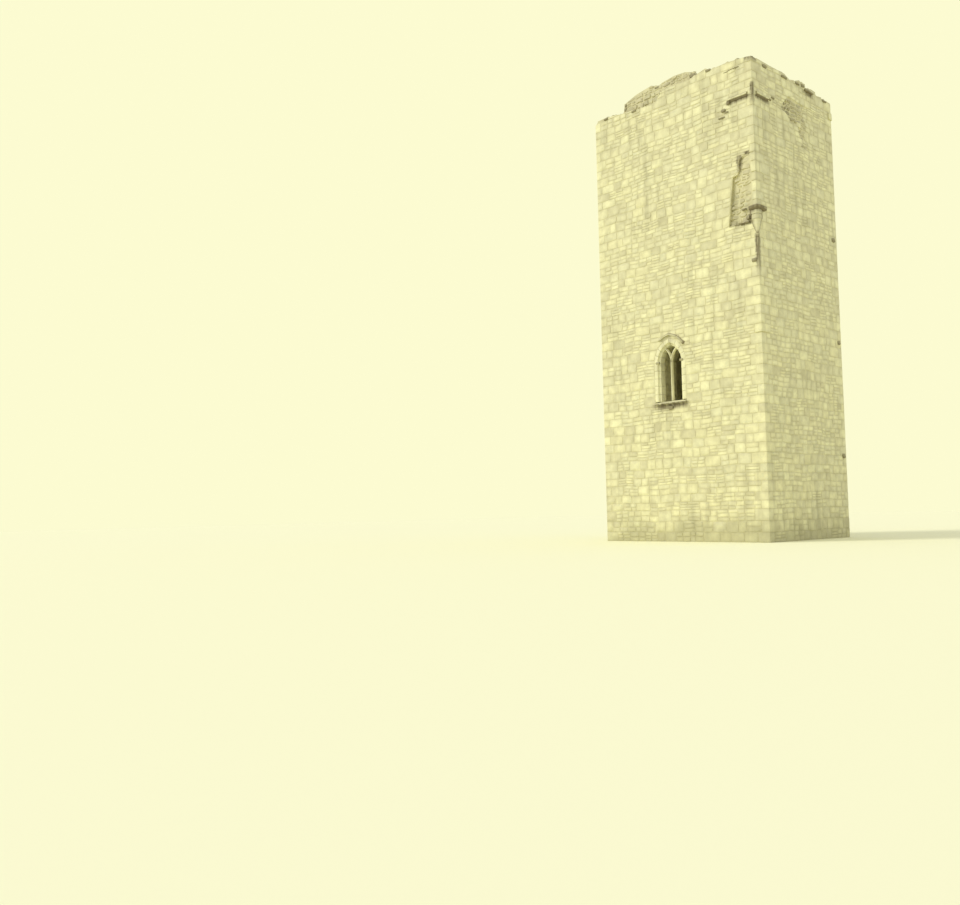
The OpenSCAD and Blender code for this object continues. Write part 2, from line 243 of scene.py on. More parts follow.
def stone_finish(name, tones, grain_scale=40.0, bump=0.6, streaks=0.5, lichen=0.5, damp=0.5):
    """Weathered stone. The mesh's tone attribute picks a colour between the tones, its second
    attribute darkens the arris down in the joint and paints dirt and shade on some pieces, and the
    groups add mottling, weather and the stains and painted shade under the ledges."""
    finish = bpy.data.materials.new(name)
    finish.use_nodes = True
    tree = finish.node_tree
    place = add_node("ShaderNodeTexCoord", {}, tree).outputs["Object"]

    def placed(group, inputs):
        """The outputs of a group that is laid over the piece."""
        return add_node("ShaderNodeGroup", {"Vector": place, **inputs}, node_tree=group).outputs

    def mixed(factor, first, second, blend="MIX"):
        """The first colour with the second over it."""
        return add_node("ShaderNodeMix", {0: factor, 6: first, 7: second}, tree, data_type="RGBA",
                        blend_type=blend).outputs[2]

    grain = placed(grain_group, {"Patch Scale": 2.4, "Grain Scale": grain_scale})
    tone, rim_and_shade = (add_node("ShaderNodeAttribute", {}, tree, attribute_name=label).outputs["Fac"]
                 for label in ("tone", "rim_and_shade"))
    body = add_node("ShaderNodeValToRGB", {0: tone})
    stops = body.color_ramp.elements
    for _ in tones[2:]:
        stops.new(0.5)
    for k, colour in enumerate(tones):
        stops[k].position = k / (len(tones) - 1)
        stops[k].color = (*colour, 1.0)
    shade = mixed(grain["Mottle"], (0.86, 0.85, 0.83, 1), (1.05, 1.05, 1.04, 1))
    colour = mixed(1.0, body.outputs["Color"], shade, "MULTIPLY")
    # Over the stone lie, in turn, rain streaks, lichen, damp, the stains and painted shade under the
    # ledges, and the dark of the joints with, on some pieces, dirt and painted shade.
    stained_and_shaded = 0.0
    for along_front, along_right, level, reach, drop in ledges:
        stain_and_shade = placed(ledge_stain_and_shade_group, {"X": half_front - along_front, "Y": along_right - half_side,
                                     "Level": level, "Reach": reach, "Drop": drop})["Factor"]
        stained_and_shaded = maths("MAXIMUM", stain_and_shade, stained_and_shaded)
    for cover, soil in (
            (placed(streak_group, {"Cover": streaks, "Width": 0.42})["Factor"], (0.45, 0.42, 0.24, 1)),
            (placed(lichen_group, {"Cover": lichen, "Spot Scale": 8.0})["Factor"], (0.65, 0.66, 0.42, 1)),
            (product(placed(damp_group, {"Rise": 2.2})["Factor"], damp), (0.38, 0.36, 0.19, 1)),
            (product(stained_and_shaded, 0.92), (0.13, 0.10, 0.05, 1)),
            (product(rim_and_shade, 0.32), (0.2, 0.165, 0.085, 1))):
        colour = mixed(cover, colour, soil)
    relief = add_node("ShaderNodeBump", {"Height": grain["Height"], "Strength": bump, "Distance": 0.012})
    surface = tree.nodes["Principled BSDF"]
    tree.links.new(colour, surface.inputs["Base Color"])
    tree.links.new(relief.outputs["Normal"], surface.inputs["Normal"])
    surface.inputs["Roughness"].default_value = 0.92
    return finish


mortar = stone_finish("lime_mortar", [(0.71, 0.67, 0.40)] * 2, grain_scale=70.0, bump=0.4, streaks=0.6,
                      lichen=0.3)
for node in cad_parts.values():
    node.data.materials.clear()
    node.data.materials.append(mortar)


# Facing stones. The faces of the walls are of squared rubble brought to courses: some stones as
# tall as the course, others in two or three thin beds. Each is bedded in the mortar and stands a
# little proud of it, with its hammered face worn round at the edges.
def make_piece(name, solids, finish, sharp=40.0):
    """One mesh of closed solids, which are points, sets of faces, tone and maybe rim as whole
    arrays. Its faces are turned outwards, and edges over that many degrees are sharp."""
    points, face_sets, *shades = solids
    mesh = bpy.data.meshes.new(name)
    mesh.from_pydata(points, [], [face for faces in face_sets for face in faces.tolist()])
    for label, values in zip(("tone", "rim_and_shade"), shades):
        layer = mesh.attributes.new(label, "FLOAT", "POINT")
        layer.data.foreach_set("value", np.asarray(values, np.float32))
    work = bmesh.new()
    work.from_mesh(mesh)
    bmesh.ops.recalc_face_normals(work, faces=work.faces)
    work.to_mesh(mesh)
    work.free()
    mesh.polygons.foreach_set("use_smooth", np.ones(len(mesh.polygons), bool))
    mesh.set_sharp_from_angle(angle=np.radians(sharp))
    mesh.materials.append(finish)
    piece = bpy.data.objects.new(name, mesh)
    scene.collection.objects.link(piece)
    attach(piece, "root")
    return piece


def points_at(x, y, z):
    """The points with these coordinates."""
    return np.stack(np.broadcast_arrays(x, y, z), axis=-1)


def on_wall(quarter, reach, a, out, z):
    """The row-frame point that is a to the right, out from the face and z up, as seen from
    outside: (a, -(reach + out)) turned about Z by that many quarter turns."""
    cos, sin = [(1, 0), (0, 1), (-1, 0), (0, -1)][quarter]
    away = -(reach + out)
    return points_at(cos * a - sin * away, sin * a + cos * away, z)


def surface_of(*marks):
    """A tree for ray casts on the CAD nodes that have one of the marks in their name."""
    points, faces = [], []
    for name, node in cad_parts.items():
        if any(mark in name for mark in marks):
            start = len(points)
            points += [node.matrix_world @ vertex.co for vertex in node.data.vertices]
            faces += [[start + k for k in face.vertices] for face in node.data.polygons]
    return BVHTree.FromPolygons(points, faces)


wall_solids = surface_of("_wall", "_core", "_threshold")
wall_heads = surface_of("_wall_head", "_core")
above_all = 24.0


def depth_behind(quarter, reach, a, z, probe=0.5):
    """How far the solid lies behind the face at each a and z, up to the probe's length."""
    start = on_wall(quarter, reach, a, probe, z).reshape(-1, 3)
    inward = on_wall(quarter, 0.0, 0.0, -1.0, 0.0)
    found = [wall_solids.ray_cast(point, inward, 2 * probe)[3] for point in start.tolist()]
    return np.nan_to_num(np.array(found, float), nan=2 * probe).reshape(np.shape(a)) - probe


def broken_edge(quarter, reach, z, first, last, step=0.01, lost=0.012):
    """Where the facing breaks off at each height z: the first place from one a to the other with
    the solid more than lost behind the face, or else the last."""
    a, level = np.meshgrid(np.arange(first, last, step), z)
    bare = depth_behind(quarter, reach, a, level) > lost
    return np.where(bare.any(1), first + step * bare.argmax(1), last)


def head_line(quarter, reach, half):
    """A function of a: the height of the broken head 5 cm behind the face, from the CAD solids."""
    a = np.linspace(-half + 0.06, half - 0.06, 461)
    start = on_wall(quarter, reach, a, -0.05, above_all)
    top = np.array([wall_heads.ray_cast(point, (0, 0, -1))[0].z for point in start.tolist()])
    return lambda where: np.interp(where, a, top)


def course_beds(rng, stops, least, most):
    """Bed levels: between each two stops, a whole number of courses of random height."""
    beds = [stops[0]]
    for low, high in pairwise(stops):
        count = max(1, round(2 * (high - low) / (least + most)))
        heights = rng.uniform(least, most, count)
        beds += (low + np.cumsum(heights) * (high - low) / heights.sum()).tolist()
    return np.array(beds)


def split(rng, left, right, length, fade=0.4):
    """Cuts a strip into stones of about that length. Each edge is given at the foot, middle and
    top of the strip, and an edge's slant dies away in the cuts over the fade."""
    first, last = left.mean(), right.mean()
    count = max(1, round((last - first) / length))
    shares = (np.arange(1, count) + rng.uniform(-0.24, 0.24, count - 1)) / count
    cuts = [first + (last - first) * share for share in shares]
    return [left, *(cut + (left - first) * np.exp((first - cut) / fade)
                    + (right - last) * np.exp((cut - last) / fade) for cut in cuts), right]


thirds = np.array([0.0, 0.5, 1.0])


def course_cells(rng, low, high, left, right, long=0.85, short=0.48, patterns=(1, 1, 1, 2, 2, 2, 3)):
    """The stones of one course: it is cut in groups, each group in one to three beds, and each
    bed in stones. A cell is its foot, its top and its two edges."""
    cells = []
    edges = split(rng, left + np.zeros(3), right + np.zeros(3), long)
    for start, end in pairwise(edges):
        rows = rng.choice(patterns)
        inner = (np.arange(1, rows) + rng.uniform(-0.15, 0.15, rows - 1)) / rows
        levels = [0.0, *inner, 1.0]
        for foot, top in pairwise(levels):
            at = foot + (top - foot) * thirds
            row = split(rng, np.interp(at, thirds, start), np.interp(at, thirds, end),
                        short * (1.25 if rows == 1 else 1.0))
            cells += [(low + (high - low) * foot, low + (high - low) * top, *ends)
                      for ends in pairwise(row)]
    return cells


def coursed(rng, levels, left, right, **sizes):
    """The stones of a plain stretch, with one course between each two levels."""
    return [cell for low, high in pairwise(levels)
            for cell in course_cells(rng, low, high, left, right, **sizes)]


def measures(cells):
    """The foot, top, middle and width of each cell."""
    return np.array([(foot, top, (left.mean() + right.mean()) / 2, right.mean() - left.mean())
                     for foot, top, left, right in cells]).T


def at_share(edge, share):
    """A parabola through an edge's three values: e0(1-v)(1-2v) + 4 e1 v(1-v) + e2 v(2v-1)."""
    e0, e1, e2 = (edge[:, k, None, None] for k in range(3))
    return e0 * (1 - share) * (1 - 2 * share) + 4 * e1 * share * (1 - share) + e2 * share * (2 * share - 1)


def stone_shells(surface, cells, rng, relief=(0.008, 0.021), steps=6, joint=0.006, bevel=0.016,
                 root=0.006, rough=0.0012, rounding=0.12, columns=None, head=None, sink=None, warp=None,
                 proud=0.2):
    """Closed stones on any surface(a, out, z). Over each cell, s and t run from -1 to 1. The
    outer ring of the grid lies root deep in the wall, and inside it
    out = relief (1 - 0.2 (s^2 + t^2)) + tilt_s s + tilt_t t + rough (three sines of s and t).
    Corners are drawn in by rounding s^4 t^4. Returns points, faces, tone and rim."""
    count = len(cells)
    foot, top = (np.array([cell[k] for cell in cells])[:, None, None] for k in (0, 1))
    left, right = (np.array([cell[k] + np.zeros(3) for cell in cells]) for k in (2, 3))
    width = np.maximum((right - left).mean(1), 0.05)
    height = np.maximum((top - foot).ravel(), 0.04)
    inset = np.ones((2, count, steps))
    inset[:, :, 1:-1] = 1 - 2 * bevel / np.stack([width, height])[:, :, None]
    s, t = np.array([-1.0, *np.linspace(-1, 1, steps - 2), 1.0]) * np.maximum(inset, 0.3)
    if columns is not None:
        s = columns
    across = s.shape[1]
    s, t = np.broadcast_arrays(s[:, :, None], t[:, None, :])
    drawn = 1 - rounding * s ** 4 * t ** 4
    u = 0.5 + 0.5 * s * drawn * (1 - 2 * joint / width[:, None, None])
    v = 0.5 + 0.5 * t * drawn * (1 - 2 * joint / height[:, None, None])
    a = at_share(left, v) * (1 - u) + at_share(right, v) * u
    z = foot + v * ((top if head is None else np.minimum(top, head(a))) - foot)
    pick = rng.uniform(-1, 1, (8, count, 1, 1))
    stands = relief[0] + (relief[1] - relief[0]) * (0.5 + 0.5 * pick[0])
    stands = np.minimum(stands, proud * np.minimum(width, height)[:, None, None])
    out = stands * (1 - 0.2 * (s ** 2 + t ** 2)) + 0.2 * stands * (pick[1] * s + pick[2] * t)
    out = out + rough * (np.sin(4 * s + 3 * pick[3]) + np.sin(5 * t + 3 * pick[4])
                         + np.sin(3 * s - 4 * t + 3 * pick[5]))
    ring = np.ones((across, steps))
    ring[1:-1, 1:-1] = 0.0
    bed, deep = np.zeros((2, 1, 1, 1)) if sink is None else sink[:, :, None, None]
    out = np.where(ring > 0, -(deep + root), out) + bed
    if warp is not None:
        a, z = warp(a, z)
    grid = np.arange(across * steps).reshape(across, steps)
    quads = np.stack([grid[:-1, :-1], grid[1:, :-1], grid[1:, 1:], grid[:-1, 1:]], -1).reshape(-1, 4)
    back = np.concatenate([grid[0], grid[1:-1, -1], grid[-1, ::-1], grid[-2:0:-1, 0]])[None]
    shift = (np.arange(count) * grid.size)[:, None, None]
    ring[1:-1, [1, -2]] = ring[[1, -2], 1:-1] = 0.35
    return (surface(a, out, z).reshape(-1, 3), [(quads + shift).reshape(-1, 4), (back + shift)[:, 0]],
            np.repeat(0.5 + 0.5 * pick[6].ravel(), grid.size), np.tile(ring.ravel(), count))


quarters = {"front": 0, "right": 1, "back": 2, "left": 3}
half_of, reach_of = [half_front, half_side] * 2, [half_side, half_front] * 2
door_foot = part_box("door_threshold")[1][2]
sill_low, sill_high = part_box("front_window_sill")
string_low, string_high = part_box("string_course_front")
scar_low, scar_high, course_top = 14.48, 17.7, 23.1
course_rng = np.random.default_rng(11)
beds = course_beds(course_rng, [0.0, door_foot, sill_low[2], scar_low, string_low[2], course_top], 0.36, 0.5)
courses = len(beds) - 1

# Long and short legs take turns up each corner. Beside the scar the front legs are broken short.
long_legs = course_rng.uniform(0.58, 0.8, (4, courses))
short_legs = course_rng.uniform(0.3, 0.4, (4, courses))
turns_long = (np.arange(courses)[None] + np.arange(4)[:, None]) % 2 == 0
left_legs = np.where(turns_long, long_legs, short_legs)
right_legs = np.where(turns_long, short_legs, long_legs)
in_scar = (beds[1:] > scar_low + 0.01) & (beds[:-1] < scar_high)
left_legs[0, in_scar] = course_rng.uniform(0.2, 0.34, in_scar.sum())

# Openings: the middle, half the width over the jamb stones, how far the arch's centres lie beyond
# the middle, and the heights of the foot and of the springing.
window_jamb, door_jamb, window_rise = 0.3, 0.25, 0.82
window_middle = (sill_low[0] + sill_high[0]) / 2
window_half = sill_high[0] / 2 - sill_low[0] / 2 - window_jamb
window_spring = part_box("front_window_mullion")[1][2]
window_beyond = (window_rise ** 2 - window_half ** 2) / (2 * window_half)
door_low, door_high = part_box("door_front_frame")
door_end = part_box("door_back_frame")[1][1]
door_middle = (door_low[1] + door_end) / 2
door_half = (door_end - door_low[1]) / 2 - door_jamb
door_spring = door_high[2] - door_half - door_jamb
window = (window_middle, window_half + window_jamb, window_beyond, sill_low[2], window_spring)
openings = {"front": window, "back": window,
            "left": (-door_middle, door_half + door_jamb, 0.0, door_foot, door_spring)}


def half_width(opening, z):
    """Half an opening's width at height z: straight jambs, then arcs, then nothing."""
    _, half, beyond, foot, spring = opening
    radius = half + beyond
    arc = np.sqrt(np.maximum(radius ** 2 - np.maximum(z - spring, 0) ** 2, beyond ** 2)) - beyond
    return np.where(z < foot - 0.001, 0.0, arc)


def beside(opening, hand, low, high, left, right):
    """What an opening leaves of a course. Its middle changes hands where the wall is seen from
    inside."""
    if opening is not None:
        hole, middle = half_width(opening, low + (high - low) * thirds), hand * opening[0]
        if hole.max() > 0.0:
            return [(left, middle - hole), (middle + hole, right)]
    return [(left, right)]


def phases(rng, shape=None):
    """Random phases from the whole circle."""
    return rng.uniform(0, 6.28, shape)


def wall_warp(quarter, half, opening, amount=0.022):
    """Courses waver by sums of sines, which die away towards the quoins and the opening."""
    phase = phases(np.random.default_rng(60 + quarter), 4)

    def warp(a, z):
        """The places a and z moved by their sines."""
        free = np.clip((half - np.abs(a) - 0.8) / 0.5, 0, 1) * np.clip(z / 0.5, 0, 1)
        if opening is not None:
            middle, wide, beyond, foot, spring = opening
            tall = np.sqrt((wide + beyond) ** 2 - beyond ** 2)
            gap = np.maximum.reduce([np.abs(a - middle) - wide, foot - z, z - spring - tall])
            free = free * np.clip(gap / 0.5, 0, 1)
        side = np.sin(2.1 * a + 0.9 * z + phase[0]) + 0.6 * np.sin(5.3 * z - 1.7 * a + phase[1])
        rise = np.sin(1.7 * a + 0.5 * z + phase[2]) + 0.6 * np.sin(4.1 * a - 1.3 * z + phase[3])
        return a + amount * free * side, z + amount * free * rise

    return warp


wall_stone = stone_finish("wall_stone", [(0.92, 0.89, 0.54), (0.87, 0.83, 0.49), (0.83, 0.80, 0.50),
                                         (0.75, 0.71, 0.43)], streaks=0.45, lichen=0.45)
heads = {}
patch_low, patch_high, patch_left, patch_right, patch_slant = 18.89, 21.2, -1.3, 1.0, 0.5
scar_reach, least_stone, bed_margin, flush, deepest = 1.4, 0.07, 0.02, 0.004, 0.2
near_edges = np.array([-0.46, 0.0, 0.46])

# Where the solid lies further behind the face than this, the facing has fallen.
fallen_behind = {"front": 0.015, "right": 0.035, "back": 9.0, "left": 9.0}
for wall, quarter in quarters.items():
    rng = np.random.default_rng(20 + quarter)
    half, reach, opening = half_of[quarter], reach_of[quarter], openings.get(wall)
    head = heads[wall] = head_line(quarter, reach, half)
    cells = []
    for course, (low, high) in enumerate(pairwise(beds)):
        left, right = right_legs[quarter - 1, course] - half, half - left_legs[quarter, course]
        if low > head(np.linspace(left, right, 50)).max() - 0.05:
            break
        spans = beside(opening, 1, low, high, left, right)
        levels = low + bed_margin + (high - low - 2 * bed_margin) * thirds
        if wall == "front" and in_scar[course]:
            spans = [(left, broken_edge(quarter, reach, levels, right - scar_reach, right))]
        if wall == "right" and high > patch_low and low < patch_high:
            torn = broken_edge(quarter, reach, levels, patch_left, patch_right)
            torn = np.minimum(torn, torn.min() + patch_slant)
            spans = [(left, torn), (torn, right)] if torn.min() < patch_right else spans
        for span in spans:
            cells += course_cells(rng, low, high, *span)
    foot, top, middle, wide = measures(cells)
    cells = list(compress(cells, np.minimum(top, head(middle)) - foot > least_stone))
    foot, top, middle, wide = measures(cells)[..., None, None]
    top = np.minimum(top, head(middle))
    depth = depth_behind(quarter, reach, middle + wide * near_edges[:, None] + 0 * near_edges,
                         (foot + top) / 2 + (top - foot) * near_edges)
    depth = np.clip(depth, 0, deepest)
    centre = depth[:, 1, 1]
    sunk, whole = centre > flush, centre < fallen_behind[wall]
    sink = np.stack([-centre * sunk, depth.max((1, 2)) - np.where(sunk, depth.min((1, 2)), 0)])
    shells = stone_shells(partial(on_wall, quarter, reach), list(compress(cells, whole)), rng, head=head,
                          sink=sink[:, whole], warp=wall_warp(quarter, half, opening))
    make_piece(wall + "_facing_stones", shells, wall_stone)


# Quoins. Dressed blocks bind the corners, one to a course, each with a long leg on one wall and a
# short one on the other, bedded like the facing. Their arrises are worn round, and here and there
# one stands out of line.
worn, arris_bevel, least_quoin = 0.024, 0.016, 0.12


def round_corner(corner, p, out, z):
    """The point p along two walls from their corner, out from them and z up. Within pi / 4 of the
    worn radius either way it lies on an arc about the corner, and beyond that on the flat walls."""
    bend = np.pi * worn / 4
    angle = np.clip(p / worn, -np.pi / 4, np.pi / 4) + np.pi / 4
    a = half_of[corner] - worn + (worn + out) * np.sin(angle) + np.minimum(p + bend, 0)
    outward = -worn + (worn + out) * np.cos(angle) - np.maximum(p - bend, 0)
    return on_wall(corner, reach_of[corner], a, outward, z)


near_arris = np.array([-0.06, -worn * 0.8, -worn * 0.25, worn * 0.25, worn * 0.8, 0.06])

# At each corner, how far the stones that are out of line stand out, and at what heights.
stands_out = [(0.045, 9.4), (0.045, 21.3), (0.003, 7.7, 17.2), (0.003, 15.4, 12.6)]
for corner, (wall, step_by) in enumerate(zip(quarters, stands_out)):
    rng = np.random.default_rng(40 + corner)
    next_corner = (corner + 1) % 4
    next_wall = list(quarters)[next_corner]

    def corner_head(p):
        """The height of the broken head at p along the two walls."""
        return np.where(p < 0, heads[wall](half_of[corner] + p), heads[next_wall](p - half_of[next_corner]))

    kept = np.minimum(beds[1:], corner_head(0.0)) - beds[:-1] > least_quoin
    foot, left, right = beds[:-1][kept], left_legs[corner][kept], right_legs[corner][kept]
    places = np.concatenate([np.stack([-left, arris_bevel - left, -0.5 * left], 1),
                             np.tile(near_arris, (len(left), 1)),
                             np.stack([0.5 * right, right - arris_bevel, right], 1)], 1)
    columns = 2 * (places + left[:, None]) / (left + right)[:, None] - 1
    step_out = np.zeros(len(foot))
    for height in step_by[1:]:
        step_out[np.abs(foot + 0.2 - height).argmin()] = step_by[0]
    scar_root = np.where(in_scar[kept] & (corner == 0), 0.06, 0.0)
    shells = stone_shells(partial(round_corner, corner), list(zip(foot, beds[1:][kept], -left, right)), rng,
                          relief=(0.014, 0.021) if corner < 2 else (0.012, 0.017), rounding=0.05,
                          columns=columns, head=corner_head, sink=np.stack([step_out, step_out + scar_root]))
    make_piece(f"{wall}_{next_wall}_quoins", shells, wall_stone)


# Bare rubble. Where the facing has fallen, beside the near corner and along the broken head of the
# front wall, small unshaped stones of the wall's core are left standing in the mortar.
rubble_stone = stone_finish("rubble_stone", [(0.75, 0.70, 0.42), (0.66, 0.62, 0.38), (0.79, 0.74, 0.44),
                                             (0.57, 0.53, 0.34)], bump=0.9, streaks=0.6, lichen=0.7)
unshaped = {"rough": 0.004, "rounding": 0.35, "bevel": 0.045, "joint": 0.012}


def rubble_cells(rng, coarse, low, high, left, right):
    """Cells of small rubble over a rectangle."""
    return coursed(rng, course_beds(rng, [low, high], 0.7 * coarse, 1.1 * coarse), left, right,
                   long=2.2 * coarse, short=1.2 * coarse, patterns=(1, 1, 1, 2))


def rubble_warp(a, z):
    """Pulls rubble out of line by short sines, up to 4 cm, so that no two stones are alike."""
    return (a + 0.022 * np.sin(13 * z + 5 * a) + 0.018 * np.sin(21 * a - 9 * z + 1.3),
            z + 0.020 * np.sin(11 * a - 4 * z + 0.7) + 0.014 * np.sin(23 * z + 17 * a))


rng = np.random.default_rng(51)
for name, quarter, least, coarse, dirt_and_shade, *area in (
        ("corner_scar", 0, 0.012, 0.27, 0.6, scar_low, scar_high, half_front - 1.5, half_front - 0.26),
        ("right_wall_patch", 1, 0.03, 0.22, 2.4, patch_low, patch_high, patch_left, 1.8)):
    cells = rubble_cells(rng, coarse, *area)
    foot, top, middle, wide = measures(cells)
    depth = depth_behind(quarter, reach_of[quarter], middle, (foot + top) / 2)
    inside = depth > least
    cells, depth = list(compress(cells, inside)), depth[inside]
    most = np.minimum(0.065, 0.85 * depth)[:, None, None]
    *shells, rim_and_shade = stone_shells(partial(on_wall, quarter, reach_of[quarter]), cells, rng, **unshaped,
                                relief=(0.25 * most, most), warp=rubble_warp, proud=0.35,
                                sink=np.stack([-depth, 0.02 + 0 * depth]))
    # Painted shade: each stone is darkened by the square of its depth, so most where the recess is deepest.
    soiled_and_shaded = np.repeat(dirt_and_shade * (depth / depth.max()) ** 2, len(rim_and_shade) // len(cells))
    make_piece(name + "_rubble", (*shells, np.maximum(rim_and_shade, soiled_and_shaded)), rubble_stone)

core_reach = -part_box("front_rubble_core")[0][1]
core_head = head_line(0, core_reach, half_front)


def core_warp(a, z):
    """The same, kept under the core's own broken top."""
    side, up = rubble_warp(a, z)
    return side, np.minimum(up, core_head(a))


cells = rubble_cells(rng, 0.26, 21.55, 23.0, 0.1 - half_front, half_front - 0.1)
foot, top, middle, wide = measures(cells)
up = (foot + top) / 2
cells = list(compress(cells, (core_head(middle) > up + 0.02) & (heads["front"](middle) < up + 0.25)))
shells = stone_shells(partial(on_wall, 0, core_reach), cells, rng, **unshaped, relief=(0.02, 0.065),
                      head=core_head, warp=core_warp)
make_piece("front_core_rubble", shells, rubble_stone)


# Broken heads. Loose and half-loose stones lie in the mortar along the tops of all four walls,
# where the parapets have gone. Each is a boxy lump, knocked about and bedded to half its height.
def tube_faces(rings):
    """The faces between closed rings of point numbers."""
    turned = np.roll(rings, -1, 1)
    return np.stack([rings[:-1], turned[:-1], turned[1:], rings[1:]], -1).reshape(-1, 4)


def lumps(rng, centres, sizes, around=9, up=5, power=0.55, knocks=0.12, tilt=0.25):
    """Closed lumps. At longitude q and latitude p a point is size * (c(p) c(q), c(p) s(q), s(p)),
    with c and s the cosine and sine raised to a power with their sign, times 1 + knocks (sines),
    turned by a random heading and a small tilt. Poles are single points."""
    count = len(centres)
    q = np.linspace(0, 2 * np.pi, around, endpoint=False)
    p = np.linspace(-np.pi / 2, np.pi / 2, up + 2)[1:-1, None]
    cos_q, sin_q, cos_p, sin_p = (np.sign(f) * np.abs(f) ** power for f in
                                  (np.cos(q), np.sin(q), np.cos(p), np.sin(p)))
    unit = np.stack([cos_p * cos_q, cos_p * sin_q, sin_p + 0 * q], -1).reshape(-1, 3)
    unit = np.concatenate([[[0, 0, -1]], unit, [[0, 0, 1]]])
    phase = phases(rng, (count, 1, 4))
    swell = 1 + knocks * (np.sin(2.1 * unit[:, 0] + phase[..., 0]) * np.sin(2.7 * unit[:, 1] + phase[..., 1])
                          + 0.7 * np.sin(3.9 * unit[:, 0] - 2.2 * unit[:, 2] + phase[..., 2]))
    shaped = unit[None] * swell[..., None] * sizes[:, None, :]
    heading, lean = phases(rng, count), rng.normal(0, tilt, count)
    c, s, cl, sl = np.cos(heading), np.sin(heading), np.cos(lean), np.sin(lean)
    o, i = np.zeros(count), np.ones(count)
    spin = np.stack([c, -s, o, s, c, o, o, o, i], -1).reshape(-1, 3, 3)
    tip = np.stack([i, o, o, o, cl, -sl, o, sl, cl], -1).reshape(-1, 3, 3)
    points = np.einsum("nij,nkj->nki", spin @ tip, shaped) + centres[:, None]
    band = 1 + np.arange(up * around).reshape(up, around)
    last = up * around + 1
    caps = np.array([[np.zeros(around, int), np.roll(band[0], -1), band[0]],
                     [np.full(around, last), band[-1], np.roll(band[-1], -1)]])
    caps = caps.transpose(0, 2, 1).reshape(-1, 3)
    shift = (np.arange(count) * (last + 1))[:, None, None]
    faces = [(tube_faces(band) + shift).reshape(-1, 4), (caps + shift).reshape(-1, 3)]
    return points.reshape(-1, 3), faces, np.repeat(rng.uniform(0, 1, count), last + 1)


rng = np.random.default_rng(77)
apart, rows_apart, wall_top, kept_share = 0.24, 0.25, 1.5, 0.86
limits = np.array([half_front - 0.004, half_side - 0.004, cad_box[1][2] - 0.002])
for wall, quarter in quarters.items():
    half, reach = half_of[quarter], reach_of[quarter]
    end = half - 0.12 if quarter % 2 == 0 else half - 1.6
    a, into = np.meshgrid(np.arange(-end, end, apart), np.arange(0.1, wall_top, rows_apart))
    a = a + rng.uniform(-0.09, 0.09, a.shape)
    into = into + rng.uniform(-0.05, 0.09, a.shape)
    spots = on_wall(quarter, reach, a, -into, above_all).reshape(-1, 3)
    drop = np.array([wall_heads.ray_cast(spot, (0, 0, -1))[3] for spot in spots.tolist()], float)
    found = ~np.isnan(drop) & (rng.uniform(0, 1, len(spots)) < kept_share)
    spots[:, 2] -= drop
    spots = spots[found]
    size = rng.uniform(0.6, 1.3, (len(spots), 1)) * rng.uniform(0.8, 1.2, (len(spots), 3))
    size = size * ([0.15, 0.12, 0.1] if wall == "right" else [0.125, 0.095, 0.065])
    spots[:, 2] += rng.uniform(-0.035, 0.01, len(spots))
    solids = lumps(rng, spots, size)
    each = solids[0].reshape(len(spots), -1, 3)
    each -= np.maximum(each.max(1) - limits, 0)[:, None]
    each[..., :2] -= np.minimum(each[..., :2].min(1) + limits[:2], 0)[:, None]
    make_piece(wall + "_head_rubble", solids, rubble_stone, sharp=28.0)


# Windows. Each pointed window has jambs and an arch of dressed blocks with a hollow chamfer, a
# mullion that forks into two bars of tracery, a sill with a weathered top and a drip, small moulded
# imposts and a hood mould cut off level above the springing. All of it is cut freestone.
def joined(parts):
    """Several lots of points, sets of faces, tone and rim as one."""
    points, face_sets, tones, rims_and_shade = zip(*parts)
    starts = np.cumsum([0, *map(len, points)])
    face_sets = [faces + start for start, sets in zip(starts, face_sets) for faces in sets]
    return np.concatenate(points), face_sets, np.concatenate(tones), np.concatenate(rims_and_shade)


def dressed_piece(name, rng, solids, dirt_and_shade=()):
    """One piece of closed bars, each an array (ring, point, 3) of sections along it, with both ends
    closed. The joint darkening is 1 at the ends, and elsewhere it is the dirt and painted shade, where a
    bar has any, along its section points."""
    parts = []
    for solid, soiled_and_shaded in zip(solids, [*dirt_and_shade, *[0.0] * len(solids)]):
        grid = np.arange(solid.size // 3).reshape(solid.shape[:2])
        rim_and_shade = np.zeros(grid.shape) + soiled_and_shaded
        rim_and_shade[[0, -1]] = np.maximum(rim_and_shade[[0, -1]], 1.0)
        parts.append((solid.reshape(-1, 3), [tube_faces(grid), grid[:1], grid[-1:, ::-1]],
                      np.full(grid.size, rng.uniform(0, 1)), rim_and_shade.ravel()))
    return make_piece(name, joined(parts), dressed_stone)


def arch_point(opening, side, m, share):
    """On one half of an arch, m outside its edge and at a share of the way to the crown: the radius
    is half + beyond + m and the angle share * acos(beyond / radius), so the halves meet upright."""
    middle, half, beyond, _, spring = opening
    radius = half + beyond + m
    angle = share * np.arccos(beyond / radius)
    return middle + side * (radius * np.cos(angle) - beyond), spring + radius * np.sin(angle)


def hollow(centre_m, centre_out, radius):
    """A hollow chamfer: a quarter circle about the lost arris, as points (m, out)."""
    angle = np.linspace(0, np.pi / 2, 6)
    return np.stack([centre_m + radius * np.cos(angle), centre_out - radius * np.sin(angle)], 1)


def block_ends(first, last, joint, steps=7):
    """Places along a block, as a column: its two ends, just inside each, and evenly between."""
    inner = np.linspace(first + 4 * joint, last - 4 * joint, steps - 2)
    return np.array([first + joint, *inner, last - joint])[:, None]


